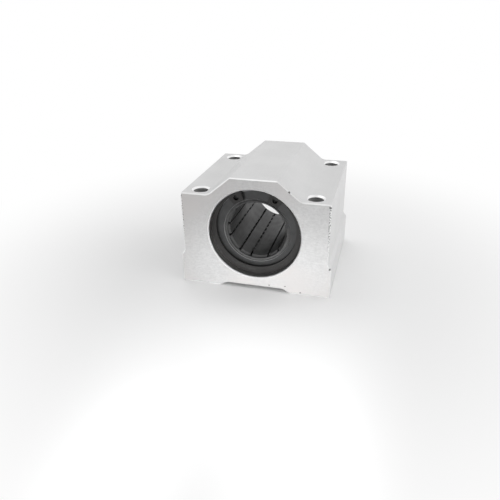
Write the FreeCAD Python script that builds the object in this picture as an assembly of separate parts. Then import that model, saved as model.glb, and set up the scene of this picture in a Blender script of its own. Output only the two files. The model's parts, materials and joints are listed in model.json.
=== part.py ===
import FreeCAD, Part
import math
import os

from FreeCAD import Vector

# Linear bearing block for a 20 mm shaft, in millimetres.
# An extruded aluminium housing carries a recirculating ball bushing in its bore, held by two
# internal circlips.  The shaft runs along Y, X is across the block, Z is up, and the origin is
# the centre of the base.

# ---------------------------------------------------------------- housing: outer form
block_length = 50.0
base_width = 54.0
block_height = 41.0
shaft_height = 21.0
shoulder_height = 34.5
flank_width = 51.5            # over the upper flanks, above the base flanks
base_flank_height = 11.0
ledge_rise = 1.5              # sloping step from the base flank in to the upper flank
top_flat_width = 16.3
crown_foot_width = 32.0       # where the crown's slopes meet the shoulders
crown_foot_radius = 3.5
crown_edge_radius = 0.6
base_corner_radius = 0.8
shoulder_corner_radius = 0.4
relief_width = 25.0           # shallow hollow along the middle of the base
relief_depth = 1.3
relief_end_run = 2.3          # width of the hollow's sloping sides
end_edge_break = 0.35         # chamfer round both sawn ends

# ---------------------------------------------------------------- housing: holes
bolt_spacing_across = 40.0
bolt_end_distance = 5.0       # from each sawn end to the nearest holes' axes
bolt_hole_diameter = 5.2      # core of the M6 thread in the base, and clearance for M5
bolt_hole_chamfer = 0.65
bore_lead_in_depth = 1.2      # slight cone at each mouth of the bore
bore_lead_in_growth = 0.35    # on the radius
bore_mouth_chamfer = 0.25

# ---------------------------------------------------------------- ball bushing
shaft_diameter = 20.0
bushing_diameter = 32.0
bushing_recess = 4.0          # from each sawn end in to the bushing
sleeve_edge_break = 0.5
ring_groove_diameter = 30.5   # two grooves round the outside of the sleeve
ring_groove_width = 1.6
ring_groove_span = 30.5       # over the outer sides of the two grooves
ball_diameter = 3.175
circuit_count = 6
first_circuit_angle = 4.0     # degrees from +X towards +Z, seen from the front
row_half_angle = 12.25        # from a circuit's middle to each of its two ball rows
return_row_lift = 1.2         # how far the unloaded row runs outside the loaded one
cage_wall_outer_gap = 0.1     # cage to raceway
cage_shaft_gap = 0.02         # cage to shaft
cage_mouth_bevel = 0.6        # at both ends of the cage's bore
track_end_wall = 1.35         # cage material left beyond the end of each ball track
slit_width = 0.65
slit_mouth_width = 1.0        # each slit widens where it runs out through the cage's ends
slit_mouth_length = 0.6
seat_wall = 1.2               # sleeve wall left outside the end ring
relief_wall = 1.4             # sleeve wall left outside the turning balls
end_ring_thickness = 0.5
end_ring_recess = 0.1
end_ring_bore = 23.2
end_ring_edge_break = 0.25
seal_flange_thickness = 0.35
seal_lip_diameter = 22.1      # outside of the raised lip
seal_lip_height = 0.4         # above the flange
seal_lip_edge_break = 0.12
seal_shaft_gap = 0.62         # the seal keeps dust out without touching the shaft

# ---------------------------------------------------------------- circlips
circlip_thickness = 1.2
circlip_groove_depth = 0.85
circlip_back_width = 3.5      # radial width opposite the gap
circlip_eccentricity = 0.95
circlip_lug_angle = 29.0      # from the top to each lug's eye
circlip_lug_half_angle = 9.5
circlip_lug_depth = 4.6
circlip_eye_diameter = 2.0
circlip_eye_inset = 2.85

# ---------------------------------------------------------------- running and seating gaps
housing_fit = 0.02            # bore to sleeve, on the radius
raceway_play = 0.005          # loaded balls to raceway
track_play = 0.01             # balls to cage
relief_play = 0.11            # unloaded balls to the sleeve's relief grooves
ball_pitch_play = 0.25        # least room between neighbouring balls along the track
seat_gap = 0.05               # end pieces to the sleeve, on the radius and along it
groove_play = 0.1             # circlip in its groove, along the bore
groove_fit = 0.03             # circlip to the floor of its groove
tool_overrun = 1.0            # how far cutters reach past the material

# ---------------------------------------------------------------- derived sizes
shaft_radius = shaft_diameter / 2.0
sleeve_radius = bushing_diameter / 2.0
ball_radius = ball_diameter / 2.0
bushing_end = block_length / 2.0 - bushing_recess
bolt_reach = block_length / 2.0 - bolt_end_distance
load_row_radius = shaft_radius + ball_radius
return_row_radius = load_row_radius + return_row_lift
raceway_radius = load_row_radius + ball_radius + raceway_play
relief_radius = sleeve_radius - relief_wall
seat_radius = sleeve_radius - seat_wall
end_ring_face = bushing_end - end_ring_recess
flange_face = end_ring_face - end_ring_thickness
seat_floor = flange_face - seal_flange_thickness
cage_end = seat_floor - seat_gap
cage_bore_radius = shaft_radius + cage_shaft_gap
cage_radius = raceway_radius - cage_wall_outer_gap
track_radius = ball_radius + track_play
bore_radius = sleeve_radius + housing_fit
groove_floor_radius = sleeve_radius + circlip_groove_depth

# A circuit lies in the plane through its two straight rows.  In the block's cross-section the
# circuit's middle direction is +Z here, and each circuit is turned about the bore afterwards.
row_angle = math.radians(row_half_angle)
load_row = Vector(-load_row_radius * math.sin(row_angle), 0, load_row_radius * math.cos(row_angle))
return_row = Vector(return_row_radius * math.sin(row_angle), 0, return_row_radius * math.cos(row_angle))
turn_radius = load_row.distanceToPoint(return_row) / 2.0
track_middle = (load_row + return_row) * 0.5
track_across = (return_row - load_row).normalize()
track_outward = Vector(-track_across.z, 0, track_across.x)
straight_end = cage_end - track_end_wall - track_radius - turn_radius


def arc_corner(before, corner, after, radius):
    """Start, middle and end of the arc that rounds one corner of an outline."""
    arm_in = (before - corner).normalize()
    arm_out = (after - corner).normalize()
    half_angle = arm_in.getAngle(arm_out) / 2.0
    setback = radius / math.tan(half_angle)
    bisector = (arm_in + arm_out).normalize()
    centre = corner + bisector * (radius / math.sin(half_angle))
    return corner + arm_in * setback, centre - bisector * radius, corner + arm_out * setback


def rounded_face(corners):
    """Face inside an outline of (x, z, corner radius), in the plane y = 0."""
    points = [Vector(x, 0, z) for x, z, _ in corners]
    arcs = []
    for i, (_, _, radius) in enumerate(corners):
        if radius > 0:
            arcs.append(arc_corner(points[i - 1], points[i], points[(i + 1) % len(points)], radius))
        else:
            arcs.append((points[i], None, points[i]))
    edges = []
    for i, (start, middle, end) in enumerate(arcs):
        if middle is not None:
            edges.append(Part.Arc(start, middle, end).toShape())
        next_start = arcs[(i + 1) % len(arcs)][0]
        edges.append(Part.LineSegment(end, next_start).toShape())
    return Part.Face(Part.Wire(edges))


def turned(outline):
    """Solid of revolution about the Y axis from an outline of (radius, y) points."""
    points = [Vector(radius, y, 0) for radius, y in outline]
    face = Part.Face(Part.makePolygon(points + points[:1]))
    return face.revolve(Vector(0, 0, 0), Vector(0, 1, 0), 360)


def raised(shape):
    """The bushing is built about the Y axis and then lifted to the shaft's height."""
    shape.translate(Vector(0, 0, shaft_height))
    return shape


def at_rear(shape):
    """Copy of a front end piece, mirrored to the rear end."""
    return shape.mirror(Vector(0, 0, 0), Vector(0, 1, 0))


# ================================================================ housing
def housing_outline():
    """Cross-section of the extrusion, going round from the base at the right."""
    right_half = [
        (relief_width / 2 - relief_end_run, relief_depth, 0),
        (relief_width / 2, 0, 0),
        (base_width / 2, 0, base_corner_radius),
        (base_width / 2, base_flank_height, 0),
        (flank_width / 2, base_flank_height + ledge_rise, 0),
        (flank_width / 2, shoulder_height, shoulder_corner_radius),
        (crown_foot_width / 2, shoulder_height, crown_foot_radius),
        (top_flat_width / 2, block_height, crown_edge_radius),
    ]
    left_half = [(-x, z, radius) for x, z, radius in reversed(right_half)]
    return right_half + left_half


def broken_end_edges(blank):
    """The edges round the two sawn ends of the extrusion."""
    end_plane = block_length / 2
    return [edge for edge in blank.Edges
            if all(abs(abs(vertex.Point.y) - end_plane) < 1e-6 for vertex in edge.Vertexes)]


def bore_tool():
    """Everything that is turned out of the housing: bore, its two mouths, circlip grooves."""
    end = block_length / 2
    lead_in_radius = bore_radius + bore_lead_in_growth
    groove_inner = bushing_end
    groove_outer = bushing_end + circlip_thickness + groove_play
    rear_half = [(bore_radius, end - bore_lead_in_depth), (lead_in_radius, end - bore_mouth_chamfer),
                 (lead_in_radius + bore_mouth_chamfer, end), (0, end)]
    front_half = [(radius, -y) for radius, y in reversed(rear_half)]
    bore = turned(front_half + rear_half)
    groove = turned([(0, groove_inner), (groove_floor_radius, groove_inner),
                     (groove_floor_radius, groove_outer), (0, groove_outer)])
    return raised(bore.fuse([groove, at_rear(groove)]))


def bolt_hole_tool(x, y):
    """One through hole, chamfered at the base and at the shoulder."""
    radius = bolt_hole_diameter / 2
    outline = [(0, 0), (radius + bolt_hole_chamfer, 0), (radius, bolt_hole_chamfer),
               (radius, shoulder_height - bolt_hole_chamfer),
               (radius + bolt_hole_chamfer, shoulder_height), (0, shoulder_height)]
    points = [Vector(r, 0, z) for r, z in outline]
    face = Part.Face(Part.makePolygon(points + points[:1]))
    hole = face.revolve(Vector(0, 0, 0), Vector(0, 0, 1), 360)
    hole.translate(Vector(x, y, 0))
    return hole


def make_housing():
    blank = rounded_face(housing_outline()).extrude(Vector(0, block_length, 0))
    blank.translate(Vector(0, -block_length / 2, 0))
    blank = blank.makeChamfer(end_edge_break, broken_end_edges(blank))
    tools = [bore_tool()]
    for x in (-bolt_spacing_across / 2, bolt_spacing_across / 2):
        for y in (-bolt_reach, bolt_reach):
            tools.append(bolt_hole_tool(x, y))
    return blank.cut(tools)


# ================================================================ ball circuits
def circuit_angles():
    pitch = 360.0 / circuit_count
    return [first_circuit_angle + pitch * i for i in range(circuit_count)]


def at_circuit(shape, angle):
    """Turn a shape from the +Z direction to a circuit's own angle about the bore."""
    placed = shape.copy()
    placed.rotate(Vector(0, 0, 0), Vector(0, 1, 0), 90.0 - angle)
    return placed


def track_point(across, along, outward=0.0):
    return track_middle + track_across * across + Vector(0, along, 0) + track_outward * outward


def track_position(travel):
    """Centre of a ball that has gone this far round the closed track."""
    straight = 2 * straight_end
    turn = math.pi * turn_radius
    travel = travel % (2 * (straight + turn))
    if travel < straight:
        return track_point(-turn_radius, travel - straight_end)
    travel -= straight
    if travel < turn:
        angle = travel / turn_radius
        return track_point(-turn_radius * math.cos(angle),
                           straight_end + turn_radius * math.sin(angle))
    travel -= turn
    if travel < straight:
        return track_point(turn_radius, straight_end - travel)
    angle = (travel - straight) / turn_radius
    return track_point(turn_radius * math.cos(angle),
                       -straight_end - turn_radius * math.sin(angle))


def balls_in_circuit():
    """As many balls as the track takes, counting that they crowd together in the turns."""
    chord = ball_diameter + ball_pitch_play / 2
    least_pitch = 2 * turn_radius * math.asin(chord / (2 * turn_radius))
    track_length = 4 * straight_end + 2 * math.pi * turn_radius
    return int(track_length / least_pitch), track_length


def make_ball_circuit(angle):
    count, track_length = balls_in_circuit()
    balls = [Part.makeSphere(ball_radius, track_position(i * track_length / count))
             for i in range(count)]
    return raised(at_circuit(Part.makeCompound(balls), angle))


# ================================================================ cage
def channel_section(across, along):
    """U-shaped section of a ball channel, open outward past the cage."""
    reach = sleeve_radius
    left = across - track_radius
    right = across + track_radius
    floor = Part.Arc(track_point(left, along), track_point(across, along, -track_radius),
                     track_point(right, along)).toShape()
    sides = Part.makePolygon([track_point(right, along), track_point(right, along, reach),
                              track_point(left, along, reach), track_point(left, along)])
    return Part.Face(Part.Wire([floor] + sides.Edges))


def track_tools():
    """Closed track of one circuit: two straight channels joined by two half-turns."""
    along = Vector(0, 2 * straight_end, 0)
    tools = [channel_section(-turn_radius, -straight_end).extrude(along),
             channel_section(turn_radius, -straight_end).extrude(along)]
    for end in (-straight_end, straight_end):
        half_turn = 180 if end > 0 else -180
        tools.append(channel_section(turn_radius, end).revolve(
            track_point(0, end), track_outward, half_turn))
    return tools


def slit_tools(row):
    """Narrow slit through the cage's inner wall under one ball row, wider at its open ends."""
    inner = cage_bore_radius - tool_overrun
    depth = row.Length - inner
    reach = cage_end + tool_overrun
    mouth_reach = slit_mouth_length + tool_overrun
    tools = [Part.makeBox(slit_width, 2 * reach, depth, Vector(-slit_width / 2, -reach, inner))]
    for y in (-reach, reach - mouth_reach):
        corner = Vector(-slit_mouth_width / 2, y, inner)
        tools.append(Part.makeBox(slit_mouth_width, mouth_reach, depth, corner))
    tilt = math.degrees(math.atan2(row.x, row.z))
    for tool in tools:
        tool.rotate(Vector(0, 0, 0), Vector(0, 1, 0), tilt)
    return tools


def make_cage():
    rear_half = [(cage_bore_radius, cage_end - cage_mouth_bevel),
                 (cage_bore_radius + cage_mouth_bevel, cage_end), (cage_radius, cage_end)]
    front_half = [(radius, -y) for radius, y in reversed(rear_half)]
    cage = turned(rear_half + front_half)
    circuit = track_tools() + slit_tools(load_row) + slit_tools(return_row)
    tools = [at_circuit(tool, angle) for angle in circuit_angles() for tool in circuit]
    return raised(cage.cut(tools))


# ================================================================ sleeve and end pieces
def make_sleeve():
    outer_groove = ring_groove_span / 2
    inner_groove = outer_groove - ring_groove_width
    groove_radius = ring_groove_diameter / 2
    front_half = [
        (raceway_radius, 0), (raceway_radius, straight_end), (relief_radius, straight_end),
        (relief_radius, seat_floor), (seat_radius, seat_floor), (seat_radius, bushing_end),
        (sleeve_radius - sleeve_edge_break, bushing_end),
        (sleeve_radius, bushing_end - sleeve_edge_break),
        (sleeve_radius, outer_groove), (groove_radius, outer_groove),
        (groove_radius, inner_groove), (sleeve_radius, inner_groove),
    ]
    rear_half = [(radius, -y) for radius, y in reversed(front_half[1:])]
    sleeve = turned(front_half + rear_half)
    reach = straight_end + tool_overrun
    groove = Part.makeCylinder(ball_radius + relief_play, 2 * reach,
                               return_row - Vector(0, reach, 0), Vector(0, 1, 0))
    return raised(sleeve.cut([at_circuit(groove, angle) for angle in circuit_angles()]))


def make_end_ring():
    """Steel ring pressed into the sleeve's mouth, holding the seal."""
    outer = seat_radius - seat_gap / 2
    inner = end_ring_bore / 2
    ring = turned([(inner, flange_face), (outer, flange_face), (outer, end_ring_face),
                   (inner + end_ring_edge_break, end_ring_face),
                   (inner, end_ring_face - end_ring_edge_break)])
    return raised(ring)


def make_seal():
    """Rubber seal: thin flange under the end ring and a raised lip that stands off the shaft."""
    flange_outer = seat_radius - seat_gap
    lip_outer = seal_lip_diameter / 2
    lip_inner = shaft_radius + seal_shaft_gap
    lip_top = flange_face + seal_lip_height
    seal = turned([
        (flange_outer, seat_floor), (flange_outer, flange_face), (lip_outer, flange_face),
        (lip_outer, lip_top), (lip_inner + seal_lip_edge_break, lip_top),
        (lip_inner, lip_top - seal_lip_edge_break), (lip_inner, seat_floor)])
    return raised(seal)


def top_wedge(half_angle, start, radius):
    """Wedge of this half-angle about the +Z direction, one circlip thick."""
    turn = math.radians(half_angle)
    reach = 2 * radius
    corners = [start, start + Vector(-reach * math.tan(turn), 0, reach),
               start + Vector(reach * math.tan(turn), 0, reach), start]
    return Part.Face(Part.makePolygon(corners)).extrude(Vector(0, circlip_thickness, 0))


def make_circlip():
    """Internal circlip: widest at the bottom, two lugs with eyes beside the gap at the top."""
    inner_plane = bushing_end
    outer_radius = groove_floor_radius - groove_fit
    along = Vector(0, 1, 0)
    start = Vector(0, inner_plane, 0)
    opening_radius = outer_radius - circlip_back_width + circlip_eccentricity
    disc = Part.makeCylinder(outer_radius, circlip_thickness, start, along)
    opening = Part.makeCylinder(opening_radius, circlip_thickness,
                                start + Vector(0, 0, circlip_eccentricity), along)
    band = disc.cut(opening)
    lug_reach = circlip_lug_angle + circlip_lug_half_angle
    lug_blank = disc.cut(Part.makeCylinder(outer_radius - circlip_lug_depth, circlip_thickness,
                                           start, along))
    lugs = lug_blank.common(top_wedge(lug_reach, start, outer_radius))
    gap = top_wedge(circlip_lug_angle - circlip_lug_half_angle, start, outer_radius)
    ring = band.fuse(lugs).removeSplitter().cut(gap)
    for side in (-1, 1):
        turn = math.radians(side * circlip_lug_angle)
        reach = outer_radius - circlip_eye_inset
        eye = Vector(reach * math.sin(turn), inner_plane, reach * math.cos(turn))
        ring = ring.cut(Part.makeCylinder(circlip_eye_diameter / 2, circlip_thickness, eye, along))
    return raised(ring)


# ================================================================ the assembly
def make_nodes():
    nodes = {"housing": make_housing(), "bushing_sleeve": make_sleeve(), "ball_cage": make_cage()}
    for number, angle in enumerate(circuit_angles(), start=1):
        nodes["ball_circuit_%d" % number] = make_ball_circuit(angle)
    for name, shape in (("end_ring", make_end_ring()), ("seal", make_seal()),
                        ("circlip", make_circlip())):
        nodes[name + "_rear"] = shape
        nodes[name + "_front"] = at_rear(shape)
    return nodes


os.makedirs("parts", exist_ok=True)
for node_name, node_shape in make_nodes().items():
    node_shape.exportStep("parts/%s.step" % node_name)
    print("%-18s solids %3d  volume %10.2f  valid %s" % (
        node_name, len(node_shape.Solids), node_shape.Volume, node_shape.isValid()))
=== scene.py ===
import json
import math

import bmesh
import bpy
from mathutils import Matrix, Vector


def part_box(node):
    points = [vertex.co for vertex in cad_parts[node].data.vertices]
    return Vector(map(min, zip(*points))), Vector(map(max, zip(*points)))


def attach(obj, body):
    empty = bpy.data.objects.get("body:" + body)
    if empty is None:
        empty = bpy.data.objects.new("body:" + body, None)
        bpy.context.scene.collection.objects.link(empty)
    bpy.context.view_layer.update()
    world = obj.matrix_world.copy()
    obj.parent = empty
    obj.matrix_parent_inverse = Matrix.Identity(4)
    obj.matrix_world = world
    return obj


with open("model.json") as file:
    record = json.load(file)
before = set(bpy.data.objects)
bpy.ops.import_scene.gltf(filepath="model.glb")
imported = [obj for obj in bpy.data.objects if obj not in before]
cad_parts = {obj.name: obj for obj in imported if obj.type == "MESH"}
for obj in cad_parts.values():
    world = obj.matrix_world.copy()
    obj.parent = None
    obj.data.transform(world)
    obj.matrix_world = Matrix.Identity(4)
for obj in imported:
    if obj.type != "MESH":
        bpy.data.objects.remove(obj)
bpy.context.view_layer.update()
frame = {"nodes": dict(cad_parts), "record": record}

MM = 0.001

# ---------------------------------------------------------------- places taken from the frame
block_low, block_high = [Vector(corner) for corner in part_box("housing")]
front_plane = block_low.y
mounts = {mount["name"]: mount for mount in frame["record"]["mounts"]}
bore_height = mounts["shaft_bore"]["pos_m"][2]
hole_spacing = mounts["base_bolts"]["dims"]["spacing_x_mm"] * MM
hole_radius = mounts["base_bolts"]["dims"]["hole_r_mm"] * MM

# ---------------------------------------------------------------- camera
camera_place = Vector((40.67, -174.19, 93.01)) * MM
camera_turn = (63.422, 0.765, 15.341)     # degrees about X, Y and Z
camera_lens = 36.064                      # in mm, on a sensor 36 mm wide
sensor_width = 36.0

# ---------------------------------------------------------------- finishes of the housing
bore_radius = 16.02 * MM
upper_flank = 25.75 * MM                  # from the middle plane
edge_break = 0.40 * MM                    # bright chamfers round both end faces
hole_rim = 0.64 * MM                      # bright chamfers round the bolt holes
lead_in_start = 0.20 * MM                 # painted highlight: a matt near-white ring at the bore's mouths, out from its wall
lead_in_end = 0.56 * MM
lead_in_depth = 1.2 * MM
fine_blur = 0.04 * MM                     # over this width one finish turns into another
soft_blur = 0.1 * MM

# Burrs on the front's upright edges: none below burr_low, most from burr_full up to burr_high.
burr_width = 0.5 * MM
burr_low = 13 * MM
burr_full = 26 * MM
burr_high = 33.8 * MM

# Single nicks of the front face: across, up and radius in mm.
front_nicks = ((12.0, 37.6, 0.35), (25.3, 33.5, 0.35), (26.5, 11.4, 0.40), (5.5, 2.3, 0.35),
               (11.2, 2.6, 0.25), (16.6, 0.8, 0.30))

# ---------------------------------------------------------------- M6 thread, in each hole's lower end
thread_pitch = 1.0 * MM
thread_start = 0.9 * MM
thread_turns = 11
thread_crest_radius = 2.5 * MM
thread_foot_sink = 0.02 * MM              # the ridge's foot lies this deep in the wall
thread_foot_half_width = 0.21 * MM
thread_crest_half_width = 0.15 * MM
steps_per_turn = 40
run_out_steps = 12

# ---------------------------------------------------------------- floor
floor_width = 8.0
floor_gap = 0.02 * MM                     # keeps the floor out of the base's own plane
fade_start = 30 * MM                      # from here the floor fades to white
fade_end = 150 * MM


# ================================================================ camera
def make_camera():
    """Three-quarter view from the front right, a little above the block."""
    data = bpy.data.cameras.new("camera")
    data.sensor_width = sensor_width
    data.lens = camera_lens
    data.clip_start = 10 * MM
    data.clip_end = 20.0
    camera = bpy.data.objects.new("camera", data)
    camera.location = camera_place
    camera.rotation_euler = [math.radians(turn) for turn in camera_turn]
    bpy.context.scene.collection.objects.link(camera)
    bpy.context.scene.camera = camera


# ================================================================ shader helpers
class Shader:
    """A node tree, with short calls to add and join nodes."""

    def __init__(self, owner, place="Object"):
        owner.use_nodes = True
        self.owner = owner
        self.tree = owner.node_tree
        self.surface = self.tree.nodes.get("Principled BSDF")
        self.place = self.add("ShaderNodeTexCoord").outputs[place]

    def add(self, kind, links=None, **settings):
        """New node with its settings; links maps an input to a socket or to a constant."""
        node = self.tree.nodes.new(kind)
        for key, value in settings.items():
            setattr(node, key, value)
        for key, value in (links or {}).items():
            self.put(node.inputs[key], value)
        return node

    def put(self, socket, value):
        if isinstance(value, bpy.types.NodeSocket):
            self.tree.links.new(value, socket)
        else:
            socket.default_value = value

    def set(self, **values):
        """Sets inputs of the surface; an underscore stands for a space in an input's name."""
        for key, value in values.items():
            self.put(self.surface.inputs[key.replace("_", " ")], value)

    def math(self, operation, a, b=0.0, c=0.0):
        return self.add("ShaderNodeMath", {0: a, 1: b, 2: c}, operation=operation).outputs[0]

    def both(self, a, b):
        return self.math("MULTIPLY", a, b)

    def either(self, a, b):
        return self.math("MAXIMUM", a, b)

    def hypotenuse(self, a, b):
        return self.math("SQRT", self.math("MULTIPLY_ADD", a, a, self.both(b, b)))

    def split(self, vector):
        """The vector's parts, as outputs named X, Y and Z."""
        return self.add("ShaderNodeSeparateXYZ", {0: vector}).outputs

    def normal(self):
        return self.split(self.add("ShaderNodeNewGeometry").outputs["Normal"])

    def noise(self, scale, stretch=(1, 1, 1), detail=3.0, offset=(0, 0, 0)):
        """Noise value; scale is in features per metre, stretch scales it along each axis."""
        place = self.add("ShaderNodeMapping", {"Vector": self.place, "Location": offset,
                                               "Scale": [scale * part for part in stretch]})
        noise = self.add("ShaderNodeTexNoise", {"Vector": place.outputs[0], "Scale": 1.0,
                                                "Detail": detail, "Roughness": 0.5})
        return noise.outputs[0]

    def between(self, value, low, high, smooth=False):
        """0 at low, 1 at high, and held at both ends; low may be the larger of the two."""
        node = self.add("ShaderNodeMapRange", {0: value, 1: low, 2: high},
                        interpolation_type="SMOOTHSTEP" if smooth else "LINEAR")
        return node.outputs[0]

    def under(self, value, limit, blur):
        """1 up to the limit, and 0 from blur beyond it."""
        return self.between(value, limit + blur, limit)

    def mix(self, factor, a, b):
        """Colour between a and b; in this node the colours are inputs 6 and 7, and output 2."""
        node = self.add("ShaderNodeMix", data_type="RGBA")
        for index, value in ((0, factor), (6, a), (7, b)):
            self.put(node.inputs[index], value)
        return node.outputs[2]

    def blend(self, factor, a, b):
        """Number between a and b."""
        return self.add("ShaderNodeMix", {0: factor, 2: a, 3: b}).outputs[0]

    def bump(self, height, distance, strength):
        links = {"Height": height, "Distance": distance, "Strength": strength}
        return self.add("ShaderNodeBump", links).outputs[0]


def grey(level, tint=(1, 1, 1)):
    return [level * part for part in tint] + [1.0]


# ================================================================ where the housing's finishes are
def bore_masks(s, place, from_end):
    """The bore's wall, and the lead-in ring at its two mouths, which gets a painted highlight."""
    up = s.math("SUBTRACT", place["Z"], bore_height)
    from_axis = s.hypotenuse(up, place["X"])
    bore = s.under(from_axis, bore_radius + lead_in_start, fine_blur)
    ring = s.both(s.math("SUBTRACT", 1.0, bore),
                  s.under(from_axis, bore_radius + lead_in_end, fine_blur))
    return bore, s.both(ring, s.under(from_end, lead_in_depth, soft_blur))


def hole_masks(s, place, normal):
    """The bolt holes' walls, which get painted shade, and the chamfers round their ends."""
    across = s.math("SUBTRACT", s.math("ABSOLUTE", place["X"]), hole_spacing / 2)
    along = s.math("SUBTRACT", s.math("ABSOLUTE", place["Y"]), hole_spacing / 2)
    from_hole = s.hypotenuse(across, along)
    hole_wall_painted_shade = s.under(from_hole, hole_radius + fine_blur, fine_blur)
    steep = s.under(s.math("ABSOLUTE", normal["Z"]), 0.8, 0.1)
    return hole_wall_painted_shade, s.both(steep, s.under(from_hole, hole_radius + hole_rim, fine_blur))


def nick_mask(s, place, from_end):
    """The front's dark burrs along its upright edges, and its single nicks."""
    burr = s.noise(2100, detail=2.0, offset=(0.5, 0.2, 0.1))
    from_flank = s.math("SUBTRACT", upper_flank, s.math("ABSOLUTE", place["X"]))
    edge = s.both(s.under(from_flank, burr_width, soft_blur), s.under(from_end, edge_break, fine_blur))
    height = s.both(s.between(place["Z"], burr_low, burr_full), s.under(place["Z"], burr_high, soft_blur))
    burred = s.between(s.math("MULTIPLY_ADD", height, 0.10, burr), 0.60, 0.65)
    nicked = s.both(burred, s.both(edge, height))
    for across, up, radius in front_nicks:
        offset = s.add("ShaderNodeCombineXYZ", {0: s.math("SUBTRACT", place["X"], across * MM),
                                                2: s.math("SUBTRACT", place["Z"], up * MM)})
        distance = s.add("ShaderNodeVectorMath", {0: offset.outputs[0]}, operation="LENGTH")
        ragged = s.math("MULTIPLY_ADD", s.math("SUBTRACT", burr, 0.5), 1.2 * MM, distance.outputs["Value"])
        nicked = s.either(nicked, s.between(ragged, radius * MM + soft_blur, radius * MM - soft_blur))
    return s.both(nicked, s.under(place["Y"], front_plane + edge_break, soft_blur))


def housing_masks(s):
    """Where each finish of the housing is, from 0 to 1."""
    place = s.split(s.place)
    normal = s.normal()
    facing_end = s.math("ABSOLUTE", normal["Y"])
    from_end = s.math("SUBTRACT", block_high.y, s.math("ABSOLUTE", place["Y"]))
    end = s.between(facing_end, 0.90, 0.97)
    off_end = s.math("SUBTRACT", 1.0, end)
    broken = s.both(s.between(facing_end, 0.3, 0.4), s.under(from_end, edge_break, fine_blur))
    bore, mouth = bore_masks(s, place, from_end)
    hole_wall_painted_shade, sunk = hole_masks(s, place, normal)
    return {"end": end, "broken": s.both(broken, off_end), "bore": bore,
            "mouth": s.both(mouth, off_end), "hole_wall_painted_shade": hole_wall_painted_shade, "sunk": sunk,
            "nicked": nick_mask(s, place, from_end)}


# ================================================================ materials
def make_aluminium():
    """Clear-anodised extrusion: fine drawn streaks along the block, sawn and milled end faces."""
    s = Shader(bpy.data.materials.new("housing_aluminium"))
    mask = housing_masks(s)

    cloud = s.noise(60, detail=5.0)
    speckle = s.noise(1500)
    drawn = s.noise(1, stretch=(2600, 30, 2600))
    milled = s.noise(1, stretch=(900, 900, 2600), detail=4.0)
    streaks = s.blend(mask["end"], drawn, milled)

    contrast = s.blend(mask["end"], 0.35, 1.2)
    tone = s.math("MULTIPLY_ADD", s.math("SUBTRACT", streaks, 0.5), contrast, 0.30)
    tone = s.math("MULTIPLY_ADD", s.math("SUBTRACT", speckle, 0.5), contrast, tone)
    tone = s.math("MULTIPLY_ADD", s.between(cloud, 0.3, 0.7), 0.4, tone)
    colour = s.mix(tone, grey(0.56), grey(0.71))
    warm = s.between(s.noise(38, detail=2.0, offset=(0.3, 0.1, 0.7)), 0.42, 0.62)
    colour = s.mix(s.both(warm, mask["end"]), colour, grey(0.65, (1.02, 0.995, 0.985)))

    # Chamfers round the end faces and holes are bare bright aluminium; the mouth ring is a painted
    # highlight, matt and near-white.
    bare_edges_and_painted_highlight = s.either(s.either(mask["broken"], mask["mouth"]), mask["sunk"])
    colour = s.mix(bare_edges_and_painted_highlight, colour, grey(0.93))
    colour = s.mix(mask["nicked"], colour, grey(0.16))
    colour = s.mix(mask["bore"], colour, grey(0.50))
    # Painted shade: the bolt holes' walls are darker than the block, for the shade deep inside the holes.
    colour = s.mix(mask["hole_wall_painted_shade"], colour, grey(0.45))
    s.set(Base_Color=colour, IOR=1.5)

    machined = s.either(mask["bore"], bare_edges_and_painted_highlight)
    matt = s.either(mask["hole_wall_painted_shade"], mask["mouth"])
    s.set(Metallic=s.both(s.blend(machined, 0.55, 1.0), s.blend(matt, 1.0, 0.3)))
    satin = s.math("MULTIPLY_ADD", streaks, 0.14, 0.36)
    s.set(Roughness=s.blend(machined, satin, 0.28))
    grain = s.math("MULTIPLY_ADD", speckle, 0.6, streaks)
    s.set(Normal=s.bump(grain, s.blend(mask["end"], 0.006 * MM, 0.014 * MM), 0.6))
    return s.owner


def make_resin():
    """Dark grey moulded cage resin with a slight sheen."""
    s = Shader(bpy.data.materials.new("cage_resin"))
    cloud = s.noise(260, detail=4.0)
    drag = s.noise(1, stretch=(3000, 120, 3000))
    shade = s.between(s.math("MULTIPLY_ADD", drag, 0.35, s.both(cloud, 0.65)), 0.3, 0.7)
    s.set(Base_Color=s.mix(shade, grey(0.045), grey(0.085)), Metallic=0.0)
    s.set(Roughness=s.blend(shade, 0.50, 0.36), IOR=1.5)
    s.set(Normal=s.bump(drag, 0.01 * MM, 0.4))
    return s.owner


def make_steel(name, level, tint, roughness, turned, metallic=0.9, edge=0.0):
    """Steel with fine marks; turned steel has them round the bore, and edge lightens its chamfers, partly
    as bare steel worn at the edge and partly as a painted highlight.
    """
    s = Shader(bpy.data.materials.new(name))
    cloud = s.noise(300, detail=4.0)
    if turned:
        marks = s.noise(1, stretch=(900, 9000, 900))
    else:
        marks = s.noise(5000)
    shade = s.between(s.math("MULTIPLY_ADD", marks, 0.4, s.both(cloud, 0.6)), 0.2, 0.8)
    colour = s.mix(shade, grey(level * 0.75, tint), grey(level * 1.25, tint))
    facing_end = s.math("ABSOLUTE", s.normal()["Y"])
    worn_and_highlit_chamfer = s.both(s.between(facing_end, 0.2, 0.3), s.under(facing_end, 0.90, 0.05))
    # Lighter chamfers: partly bare steel worn at the edge, partly a painted highlight on the end ring's
    # inner edge.
    s.set(Base_Color=s.mix(s.both(worn_and_highlit_chamfer, edge), colour, grey(0.6)))
    s.set(Metallic=metallic, Roughness=s.math("MULTIPLY_ADD", shade, 0.16, roughness - 0.08))
    s.set(Normal=s.bump(marks, 0.004 * MM, 0.4))
    return s.owner


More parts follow.
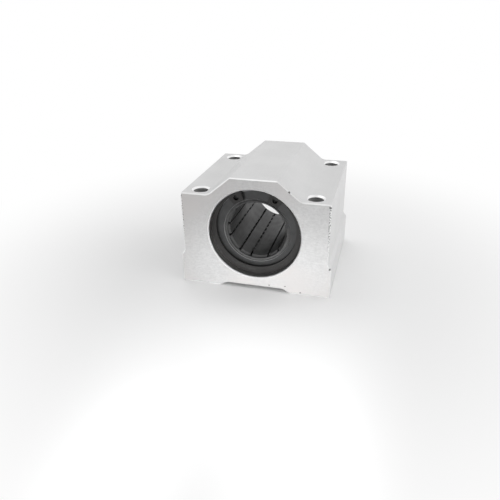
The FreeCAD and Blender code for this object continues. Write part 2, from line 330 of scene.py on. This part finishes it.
def make_rubber():
    """Black nitrile rubber, a little polished by handling."""
    s = Shader(bpy.data.materials.new("seal_rubber"))
    cloud = s.noise(500, detail=4.0)
    grain = s.noise(7000)
    s.set(Base_Color=s.mix(s.between(cloud, 0.3, 0.7), grey(0.055), grey(0.095)), Metallic=0.0)
    s.set(Roughness=s.math("MULTIPLY_ADD", cloud, 0.15, 0.38))
    s.set(Normal=s.bump(grain, 0.012 * MM, 0.5))
    return s.owner


def dress_nodes():
    """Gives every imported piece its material, by the start of its name, and adds the threads."""
    aluminium = make_aluminium()
    materials = {
        "housing": aluminium,
        "bushing_sleeve": make_steel("bearing_steel", level=0.22, tint=(1.0, 1.0, 1.02),
                                     roughness=0.30, turned=True),
        "ball_cage": make_resin(),
        # Painted shade: the balls are made dark and dull because they sit in shade inside the cage; real
        # bearing balls are bright polished steel.
        "ball_circuit": make_steel("ball_steel", level=0.12, tint=(1, 1, 1),
                                   roughness=0.40, turned=False),
        "end_ring": make_steel("end_ring_steel", level=0.06, tint=(0.99, 1.0, 1.01),
                               roughness=0.34, turned=True, metallic=0.6, edge=0.3),
        "seal": make_rubber(),
        "circlip": make_steel("circlip_steel", level=0.036, tint=(1.04, 1.0, 0.98),
                              roughness=0.42, turned=False, metallic=0.6),
    }
    for name, node in frame["nodes"].items():
        start = next(start for start in materials if name.startswith(start))
        node.data.materials.clear()
        node.data.materials.append(materials[start])
    make_threads(aluminium)


# ================================================================ threads
def thread_section(angle, height, reach):
    """Points of the ridge's section at one angle: two at its foot in the wall, two at its crest."""
    foot = hole_radius + thread_foot_sink
    crest = foot + (thread_crest_radius - foot) * reach
    section = ((foot, -thread_foot_half_width), (crest, -thread_crest_half_width),
               (crest, thread_crest_half_width), (foot, thread_foot_half_width))
    return [Vector((radius * math.cos(angle), radius * math.sin(angle), height + lift))
            for radius, lift in section]


def add_thread_ridge(mesh, centre):
    """Right-hand ridge that winds up the wall of one hole and runs out at both ends."""
    last = thread_turns * steps_per_turn
    rings = []
    for step in range(last + 1):
        reach = min(1.0, (step + 1) / run_out_steps, (last - step + 1) / run_out_steps)
        height = thread_start + thread_pitch * step / steps_per_turn
        points = thread_section(math.tau * step / steps_per_turn, height, reach)
        rings.append([mesh.verts.new(centre + point) for point in points])
    for lower, upper in zip(rings, rings[1:]):
        for side in range(4):
            after = (side + 1) % 4
            mesh.faces.new((lower[side], lower[after], upper[after], upper[side]))
    mesh.faces.new(rings[0])
    mesh.faces.new(rings[-1])


def make_threads(material):
    """The tapped lower ends of the four bolt holes."""
    mesh = bmesh.new()
    for across in (-hole_spacing / 2, hole_spacing / 2):
        for along in (-hole_spacing / 2, hole_spacing / 2):
            add_thread_ridge(mesh, Vector((across, along, 0)))
    bmesh.ops.recalc_face_normals(mesh, faces=mesh.faces)
    data = bpy.data.meshes.new("bolt_hole_threads")
    mesh.to_mesh(data)
    mesh.free()
    data.materials.append(material)
    threads = bpy.data.objects.new("bolt_hole_threads", data)
    bpy.context.scene.collection.objects.link(threads)
    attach(threads, "root")


# ================================================================ floor, background and light
def make_floor():
    """Plain pale floor; the camera and reflections see it fade to white away from the block."""
    bpy.ops.mesh.primitive_plane_add(size=floor_width, location=(0, 0, -floor_gap))
    floor = bpy.context.object
    floor.name = "floor"
    s = Shader(bpy.data.materials.new("floor"))
    s.tree.nodes.remove(s.surface)
    diffuse = s.add("ShaderNodeBsdfDiffuse", {"Color": grey(0.88)})
    white = s.add("ShaderNodeEmission", {"Color": grey(1.0), "Strength": 1.0})
    distance = s.add("ShaderNodeVectorMath", {0: s.place}, operation="LENGTH").outputs["Value"]
    far = s.between(distance, fade_start, fade_end, smooth=True)
    ray = s.add("ShaderNodeLightPath").outputs
    shown = s.either(ray["Is Camera Ray"], ray["Is Glossy Ray"])
    faded = s.add("ShaderNodeMixShader", {0: s.both(far, shown), 1: diffuse.outputs[0],
                                          2: white.outputs[0]})
    s.put(s.tree.nodes["Material Output"].inputs["Surface"], faded.outputs[0])
    floor.data.materials.append(s.owner)


def make_world():
    """Even daylight, dimmer from the front and brighter from the right, on a white background.

    Reflections see nearly white behind the block and grey in front of it."""
    world = bpy.data.worlds.new("world")
    bpy.context.scene.world = world
    s = Shader(world, place="Generated")
    toward = s.split(s.place)
    front = s.between(toward["Y"], -0.1, -0.8, smooth=True)
    right = s.between(toward["X"], 0.2, 1.0, smooth=True)
    ray = s.add("ShaderNodeLightPath").outputs
    mirrored = s.either(ray["Is Glossy Ray"], ray["Is Transmission Ray"])
    ambient = s.math("MULTIPLY_ADD", right, 0.82, s.blend(front, 0.67, 0.0))
    reflected = s.blend(front, 0.95, 0.35)
    strength = s.blend(ray["Is Camera Ray"], s.blend(mirrored, ambient, reflected), 1.0)
    background = s.tree.nodes["Background"]
    s.put(background.inputs["Color"], grey(1.0))
    s.put(background.inputs["Strength"], strength)


def add_lamp(data, place, target):
    lamp = bpy.data.objects.new(data.name, data)
    lamp.location = Vector(place)
    lamp.rotation_euler = (Vector(target) - lamp.location).to_track_quat("-Z", "Y").to_euler()
    bpy.context.scene.collection.objects.link(lamp)


def make_lamp(name, place, size, power):
    """Soft square lamp that shines on the block's middle."""
    data = bpy.data.lights.new(name, "AREA")
    data.shape = "SQUARE"
    data.size = size
    data.energy = power
    add_lamp(data, place, (block_low + block_high) / 2)


def make_spot(name, place, target, angle, power):
    """Soft-edged spotlight with a wide, feathered beam."""
    data = bpy.data.lights.new(name, "SPOT")
    data.shadow_soft_size = 15 * MM
    data.spot_size = math.radians(angle)
    data.spot_blend = 1.0
    data.energy = power
    add_lamp(data, place, target)


make_camera()
dress_nodes()
make_floor()
make_world()
make_lamp("top", place=(-0.12, 0.10, 0.50), size=0.4, power=0.73)
make_lamp("side", place=(0.55, 0.10, 0.12), size=0.4, power=0.7)
make_spot("low_left", place=(-0.01, -0.14, 0.01), target=(-0.012, front_plane, -0.02),
          angle=45, power=0.35)
make_spot("low_right", place=(0.04, -0.135, 0.015), target=(0.01, front_plane, -0.012),
          angle=48, power=0.40)

bpy.context.scene.view_settings.view_transform = "Standard"
